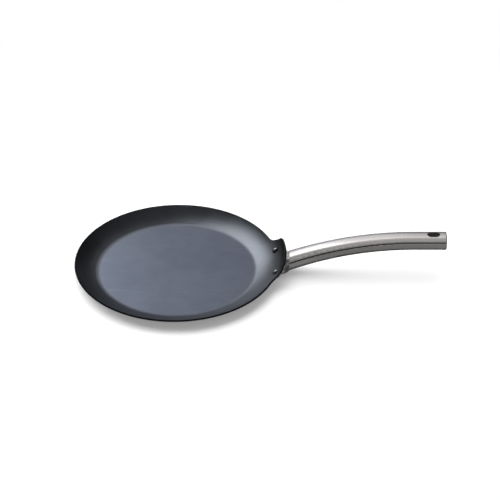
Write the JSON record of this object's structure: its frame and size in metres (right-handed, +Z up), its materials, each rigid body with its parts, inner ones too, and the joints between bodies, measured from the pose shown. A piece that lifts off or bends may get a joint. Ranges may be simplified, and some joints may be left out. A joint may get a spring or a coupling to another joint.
{
  "type": "crepe pan",
  "caption": "Shallow steel crepe pan with a flared rim, a raised ear and a long bowed hollow stainless handle, riveted on.",
  "frame": {"origin": "centre of the pan's flat underside", "axes": "+X from the pan's middle along the handle, +Z up, pan resting on the XY plane"},
  "size_m": [0.5083, 0.2796, 0.06],
  "materials": {
    "pan_steel": "satin blue-black carbon steel sheet",
    "cast_stainless": "fine-blasted cast stainless",
    "handle_stainless": "satin-polished stainless sheet",
    "rivet_stainless": "bright headed rivet"
  },
  "bodies": {
    "root": {"pan_body": "pan_steel", "handle_foot": "cast_stainless", "handle_upper_shell": "handle_stainless", "handle_lower_shell": "handle_stainless", "hanging_hole_sleeve": "handle_stainless", "rivet_left": "rivet_stainless", "rivet_right": "rivet_stainless"}
  },
  "joints": []
}
